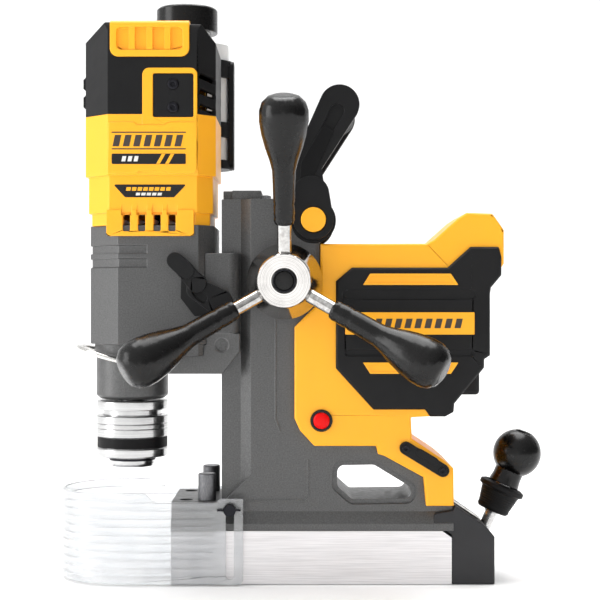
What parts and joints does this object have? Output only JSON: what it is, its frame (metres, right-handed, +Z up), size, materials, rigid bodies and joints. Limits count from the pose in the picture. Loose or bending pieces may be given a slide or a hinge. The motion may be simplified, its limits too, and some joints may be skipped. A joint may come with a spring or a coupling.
{
  "type": "magnetic drill press",
  "caption": "Cordless magnetic drill press: lever-switched magnet base, column, rack-fed drill head with quick-change chuck, battery housing, coolant bottle, carry handle and chip guard.",
  "frame": {"origin": "middle of the magnet's contact face", "axes": "+Z up along the column, -X toward the drill head, +X toward the magnet lever, -Y toward the feed handles"},
  "size_m": [0.3582, 0.2208, 0.4375],
  "materials": {
    "brushed_steel": "brushed",
    "cast_grey": "powder coated",
    "magnet_alloy": "ground",
    "black_plastic": "fine texture",
    "charcoal_plastic": "fine texture",
    "yellow_plastic": "satin",
    "black_gloss": "semi gloss",
    "polished_steel": "polished",
    "turned_steel": "turned",
    "machined_steel": "machined",
    "bronze": "machined",
    "circuit_board": "satin",
    "red_plastic": "gloss",
    "clear_plastic": "frosted",
    "bottle_plastic": "frosted",
    "battery_plastic": "fine texture",
    "cell_wrap": "satin",
    "black_steel": "black oxide",
    "motor_core": "laminated"
  },
  "bodies": {
    "base": {"magnet_housing": "brushed_steel", "fixed_magnets": "magnet_alloy", "column_casting": "cast_grey", "base_screws": "black_steel", "stop_posts": "machined_steel", "end_cap": "charcoal_plastic", "gate_plate": "polished_steel", "rear_housing_near": "yellow_plastic", "rear_housing_far": "yellow_plastic", "side_panel_near": "black_plastic", "side_panel_far": "black_plastic", "panel_inlays": "yellow_plastic", "strap_bars": "black_plastic", "housing_screws": "black_steel", "control_board": "circuit_board", "battery_terminals": "black_plastic", "button_bezel": "black_gloss", "handle_pivot": "black_plastic", "feed_bushings": "bronze"},
    "magnet_row": {"shifting_magnets": "magnet_alloy"},
    "lever": {"lever_shaft": "turned_steel", "ball_knob": "black_gloss"},
    "sleeve": {"lock_sleeve": "black_plastic"},
    "battery": {"battery_case": "battery_plastic", "battery_cells": "cell_wrap"},
    "battery_catch": {"battery_release": "yellow_plastic"},
    "power_switch": {"power_button": "red_plastic"},
    "handle": {"handle_arms": "black_plastic", "handle_grip": "black_plastic"},
    "handle_lock": {"handle_lock_button": "yellow_plastic"},
    "feed": {"feed_shaft": "machined_steel", "feed_hub": "polished_steel", "hub_cap": "black_gloss", "spoke_rods": "polished_steel", "feed_grips": "black_gloss"},
    "head": {"slide_bar": "cast_grey", "feed_rack": "machined_steel", "carriage_bracket": "cast_grey", "gear_housing": "cast_grey", "lay_pin": "machined_steel", "head_bearings": "turned_steel", "motor_housing_near": "yellow_plastic", "motor_housing_far": "yellow_plastic", "top_cover": "black_plastic", "top_insert": "yellow_plastic", "switch_plates": "black_plastic", "stator": "motor_core", "bottle_cage": "black_plastic"},
    "lock": {"lock_lever": "black_plastic"},
    "spindle": {"spindle": "machined_steel", "chuck_body": "turned_steel"},
    "idler": {"intermediate_gear": "machined_steel"},
    "rotor": {"rotor": "motor_core"},
    "collar": {"release_collar": "turned_steel"},
    "bail": {"wire_bail": "polished_steel"},
    "bottle": {"bottle": "bottle_plastic"},
    "cap": {"bottle_cap": "black_gloss"},
    "guard": {"chip_guard": "clear_plastic"},
    "near_screw": {"wing_screw_near": "black_steel"},
    "far_screw": {"wing_screw_far": "black_steel"}
  },
  "joints": [
    {"name": "head_feed", "type": "slide", "parent": "base", "child": "head", "axis": [0, 0, -1], "range_m": [0, 0.06]},
    {"name": "feed_turn", "type": "hinge", "parent": "base", "child": "feed", "pos_m": [-0.0347, 0, 0.2184], "axis": [0, -1, 0], "range_deg": [0, 288]},
    {"name": "magnet_shift", "type": "slide", "parent": "base", "child": "magnet_row", "axis": [0, 1, 0], "range_m": [0, 0.006]},
    {"name": "magnet_lever_swing", "type": "hinge", "parent": "base", "child": "lever", "pos_m": [0.10875, 0, 0.02183], "axis": [0.9157, 0, -0.4019], "range_deg": [0, 30.2]},
    {"name": "lock_sleeve_lift", "type": "slide", "parent": "lever", "child": "sleeve", "axis": [0.4019, 0, 0.9157], "range_m": [0, 0.004], "stiffness_N_per_m": 500, "springref_m": -0.004},
    {"name": "battery_slide", "type": "slide", "parent": "base", "child": "battery", "axis": [1, 0, 0], "range_m": [0, 0.05]},
    {"name": "battery_catch_press", "type": "slide", "parent": "battery", "child": "battery_catch", "axis": [-1, 0, 0], "range_m": [0, 0.003], "stiffness_N_per_m": 400, "springref_m": -0.003},
    {"name": "power_button_press", "type": "slide", "parent": "base", "child": "power_switch", "axis": [0, 1, 0], "range_m": [0, 0.0025], "stiffness_N_per_m": 500, "springref_m": -0.002},
    {"name": "carry_handle_swing", "type": "hinge", "parent": "base", "child": "handle", "pos_m": [-0.0142, 0, 0.2627], "axis": [0, 1, 0], "range_deg": [-40, 60]},
    {"name": "handle_lock_press", "type": "slide", "parent": "handle", "child": "handle_lock", "axis": [0, 1, 0], "range_m": [0, 0.003], "stiffness_N_per_m": 500, "springref_m": -0.003},
    {"name": "carriage_lock_swing", "type": "hinge", "parent": "head", "child": "lock", "pos_m": [-0.0811, 0, 0.2033], "axis": [0, -1, 0], "range_deg": [0, 70]},
    {"name": "spindle_turn", "type": "hinge", "parent": "head", "child": "spindle", "pos_m": [-0.1494, 0, 0.1], "axis": [0, 0, 1], "continuous": true},
    {"name": "intermediate_gear_turn", "type": "hinge", "parent": "head", "child": "idler", "pos_m": [-0.1366, 0.01911, 0.24], "axis": [0, 0, 1], "continuous": true},
    {"name": "rotor_turn", "type": "hinge", "parent": "head", "child": "rotor", "pos_m": [-0.1327, 0, 0.3], "axis": [0, 0, 1], "continuous": true},
    {"name": "collar_lift", "type": "slide", "parent": "spindle", "child": "collar", "axis": [0, 0, 1], "range_m": [0, 0.003], "stiffness_N_per_m": 800, "springref_m": -0.004},
    {"name": "bail_swing", "type": "hinge", "parent": "head", "child": "bail", "pos_m": [-0.1494, 0, 0.159], "axis": [0, 1, 0], "range_deg": [-50, 0]},
    {"name": "bottle_lift", "type": "slide", "parent": "head", "child": "bottle", "axis": [0, 0, 1], "range_m": [0, 0.08]},
    {"name": "bottle_cap_turn", "type": "hinge", "parent": "bottle", "child": "cap", "pos_m": [-0.114, 0.07, 0.42], "axis": [0, 0, 1], "continuous": true},
    {"name": "guard_slide", "type": "slide", "parent": "base", "child": "guard", "axis": [0, 0, 1], "range_m": [0, 0.045]},
    {"name": "near_wing_turn", "type": "hinge", "parent": "base", "child": "near_screw", "pos_m": [-0.0741, -0.05, 0.055], "axis": [0, 1, 0], "continuous": true},
    {"name": "far_wing_turn", "type": "hinge", "parent": "base", "child": "far_screw", "pos_m": [-0.0741, 0.05, 0.055], "axis": [0, 1, 0], "continuous": true}
  ],
  "couplings": [
    {"joint": "feed_turn", "follows": "head_feed", "rad_per_m": 83.333},
    {"joint": "magnet_lever_swing", "follows": "magnet_shift", "rad_per_m": 87.266},
    {"joint": "intermediate_gear_turn", "follows": "spindle_turn", "ratio": -3.6},
    {"joint": "rotor_turn", "follows": "spindle_turn", "ratio": 12}
  ]
}
